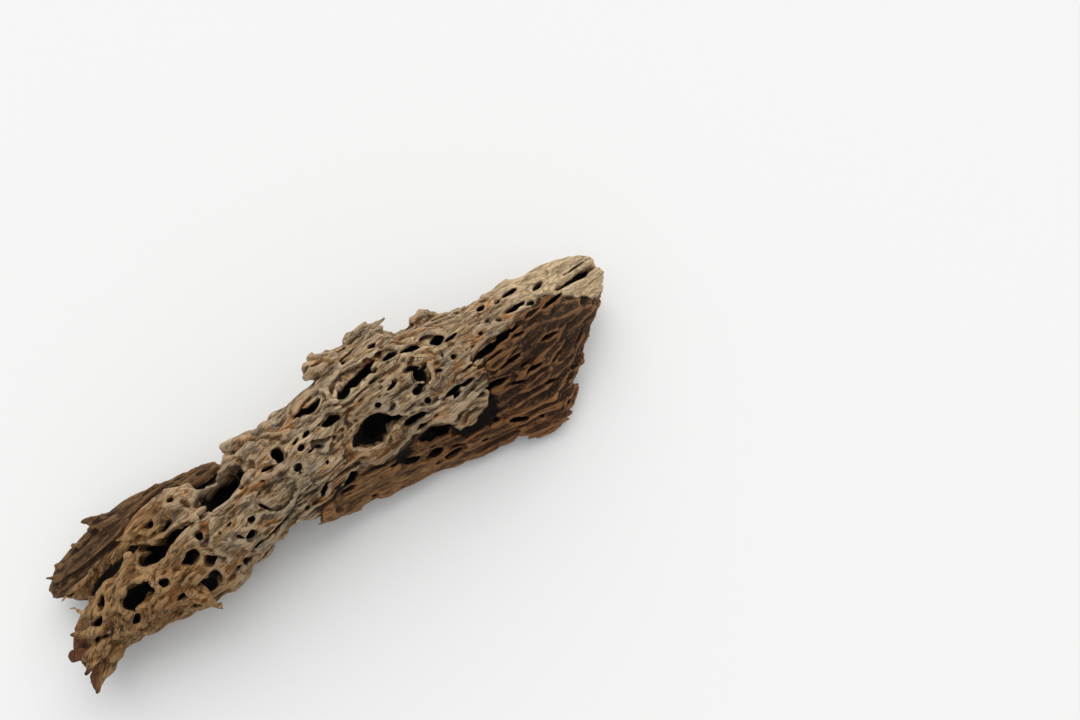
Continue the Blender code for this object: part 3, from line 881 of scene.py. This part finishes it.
# Noise drawn out along the grain: its size along and across it in millimetres, its detail and its shift.
GRAIN = {"fine_fibre": (14.0, 1.1, 3.0, 1.0), "long_grain": (70.0, 6.0, 2.0, 2.0),
         "patches": (60.0, 30.0, 3.0, 3.0), "blotches": (16.0, 9.0, 5.0, 4.0), "dust": (2.2, 1.0, 2.0, 5.0),
         "fibre": (34.0, 3.0, 3.0, 6.0), "splits": (44.0, 4.6, 3.0, 7.0),
         "warm_patches": (34.0, 18.0, 4.0, 8.0), "mottle": (4.2, 2.0, 6.0, 9.0),
         "pale_patches": (22.0, 12.0, 4.0, 11.0)}
signs = {}
grown = node("ShaderNodeAttribute", {"attribute_name": "grain"})
for name, (along, across, detail, shift) in GRAIN.items():
    place = node("ShaderNodeMapping", {}, {"Scale": (1 / along, 1 / across, 1 / across),
                                           "Location": (shift, 2.0 * shift, 3.0 * shift)},
                 {"Vector": grown.outputs["Vector"]})
    noise = node("ShaderNodeTexNoise", {"noise_type": "FBM"}, {"Scale": 1.0, "Detail": detail},
                 {"Vector": place.outputs["Vector"]})
    signs[name] = noise.outputs["Fac"]
for name in ("depth", "crest", "open", "band", "slab", "pale_band", "painted_shade", "foot", "end", "rust"):
    signs[name] = node("ShaderNodeAttribute", {"attribute_name": name}).outputs["Fac"]
offset = node("ShaderNodeMath", {"operation": "SUBTRACT"}, {1: 0.5}, {0: signs["splits"]})
distance = node("ShaderNodeMath", {"operation": "ABSOLUTE"}, {}, {0: offset.outputs[0]})
signs["cracks"] = distance.outputs[0]

# Each colour starts from one tone and takes others over it: what decides where, the values at which the
# tone starts and is full, how strong it is then, and the tone, or the colour above that it is.
# A dark brown for mottle, fibres, cracks and dust, and for painted shade in valleys and hollows.
UMBER = "27180C"
# Near-black painted shade for the depths of the tunnels.
TUNNEL_SHADE = "0B0805"
PALE_END = "DBBF97"
COLOURS = {
    "crest_tone": ("C9B291", [
        ("band", 0.0, 1.0, 1.0, "A47447"), ("slab", 0.0, 1.0, 1.0, "8E6B45"),
        ("foot", 0.0, 1.0, 0.7, "B0874F"), ("rust", 0.0, 1.0, 1.0, "7A4A2C")]),
    "band_tone": ("412C1D", [
        ("long_grain", 0.40, 0.58, 1.0, "7A4E2B"), ("pale_band", 0.0, 1.0, 0.6, "94714A"),
        # Painted shade, near-black brown, on the band's upper part.
        ("painted_shade", 0.0, 1.0, 0.85, "26170E")]),
    "slab_tone": ("4A3220", [
        ("long_grain", 0.38, 0.62, 1.0, "6B4F34")]),
    "wood_tone": ("A2855F", [
        ("patches", 0.42, 0.60, 1.0, "A67846"), ("blotches", 0.50, 0.64, 0.90, "817363"),
        ("pale_patches", 0.52, 0.66, 0.75, "B09E82"), ("foot", 0.0, 1.0, 0.78, "8A5E2D"),
        ("warm_patches", 0.53, 0.64, 0.90, "A56C34"), ("band", 0.0, 1.0, 1.0, "band_tone"),
        ("slab", 0.0, 1.0, 1.0, "slab_tone"), ("rust", 0.0, 1.0, 1.0, "5C331E"),
        ("mottle", 0.52, 0.72, 0.48, "crest_tone"), ("mottle", 0.48, 0.28, 0.70, UMBER),
        ("dust", 0.46, 0.30, 0.42, UMBER), ("dust", 0.56, 0.70, 0.30, "crest_tone"),
        ("end", 0.0, 1.0, 0.85, PALE_END), ("fibre", 0.483, 0.40, 0.38, UMBER),
        # Crests paler, partly bleached wear and partly painted highlight; valleys darker, partly dirt and
        # partly painted shade.
        ("fine_fibre", 0.484, 0.424, 0.50, UMBER), ("crest", 0.53, 0.74, 0.52, "crest_tone"),
        ("crest", 0.48, 0.30, 0.62, UMBER), ("cracks", 0.022, 0.0, 0.35, UMBER),
        # Painted shade: darker where the surface lies less open, near-black deep below the old outside.
        ("end", 0.0, 1.0, 0.32, PALE_END), ("open", 0.46, 0.26, 0.92, UMBER),
        ("depth", 0.30, 0.75, 0.96, TUNNEL_SHADE)])}
colours = {}
for name, (tone, layers) in COLOURS.items():
    over = linear(tone)
    for sign, starts, full, strength, tone in layers:
        amount = node("ShaderNodeMapRange", {"interpolation_type": "SMOOTHSTEP"},
                      {"From Min": starts, "From Max": full, "To Max": strength}, {"Value": signs[sign]})
        mix = node("ShaderNodeMix", {"data_type": "RGBA"}, {}, {0: amount.outputs["Result"]})
        for socket, colour in ((6, over), (7, colours[tone] if tone in colours else linear(tone))):
            if isinstance(colour, bpy.types.NodeSocket):
                links.new(colour, mix.inputs[socket])
            else:
                mix.inputs[socket].default_value = colour
        over = mix.outputs[2]
    colours[name] = over
links.new(colours["wood_tone"], shader.inputs["Base Color"])
shader.inputs["Roughness"].default_value = 0.86
shader.inputs["IOR"].default_value = 1.45
shader.inputs["Specular IOR Level"].default_value = 0.25

# The fibres stand out from each other by up to about two millimetres, and the splits are cut in as deep.
RELIEF = 0.0022
raised = node("ShaderNodeMapRange", {"interpolation_type": "SMOOTHSTEP"},
              {"From Min": 0.40, "From Max": 0.58}, {"Value": signs["fine_fibre"]})
split = node("ShaderNodeMapRange", {"interpolation_type": "SMOOTHSTEP"},
             {"From Min": 0.022, "From Max": 0.0}, {"Value": signs["cracks"]})
dusty = node("ShaderNodeMix", {"data_type": "FLOAT"}, {0: 0.45}, {2: raised.outputs[0], 3: signs["dust"]})
pitted = node("ShaderNodeMix", {"data_type": "FLOAT"}, {0: 0.42}, {2: dusty.outputs[0], 3: signs["mottle"]})
height = node("ShaderNodeMath", {"operation": "SUBTRACT"}, {}, {0: pitted.outputs[0], 1: split.outputs[0]})
bump = node("ShaderNodeBump", {}, {"Strength": 1.0, "Distance": RELIEF}, {"Height": height.outputs[0]})
links.new(bump.outputs["Normal"], shader.inputs["Normal"])

log.data.materials.append(driftwood)
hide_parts("honeycomb_wood")
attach(log, "root")


# The floor and the light: a plain pale floor, one large soft light on the side of the image's top, and an
# even pale surround.
FLOOR_SIZE = 6.0
KEY_DIRECTION = Vector((0.554, 0.613, 0.563))
KEY_SPREAD = 80.0
KEY_STRENGTH = 2.3
KEY_COLOUR = (1.0, 0.97, 0.93)
SURROUND_STRENGTH = 0.82
SURROUND_COLOUR = (0.97, 0.98, 1.0, 1.0)
bpy.ops.mesh.primitive_plane_add(size=FLOOR_SIZE, location=(0.0, 0.0, 0.0))
floor = bpy.context.object
floor.name = "floor"
pale = bpy.data.materials.new("pale_floor")
pale.use_nodes = True
pale.node_tree.nodes["Principled BSDF"].inputs["Base Color"].default_value = linear("E1E2E1")
pale.node_tree.nodes["Principled BSDF"].inputs["Roughness"].default_value = 0.9
floor.data.materials.append(pale)

bpy.ops.object.light_add(type="SUN", rotation=(-KEY_DIRECTION).to_track_quat("-Z", "Y").to_euler())
key = bpy.context.object
key.name = "key_light"
key.data.angle = math.radians(KEY_SPREAD)
key.data.energy = KEY_STRENGTH
key.data.color = KEY_COLOUR

world = bpy.data.worlds.new("surround")
bpy.context.scene.world = world
world.use_nodes = True
world.node_tree.nodes["Background"].inputs["Color"].default_value = SURROUND_COLOUR
world.node_tree.nodes["Background"].inputs["Strength"].default_value = SURROUND_STRENGTH
bpy.context.scene.view_settings.view_transform = "Standard"
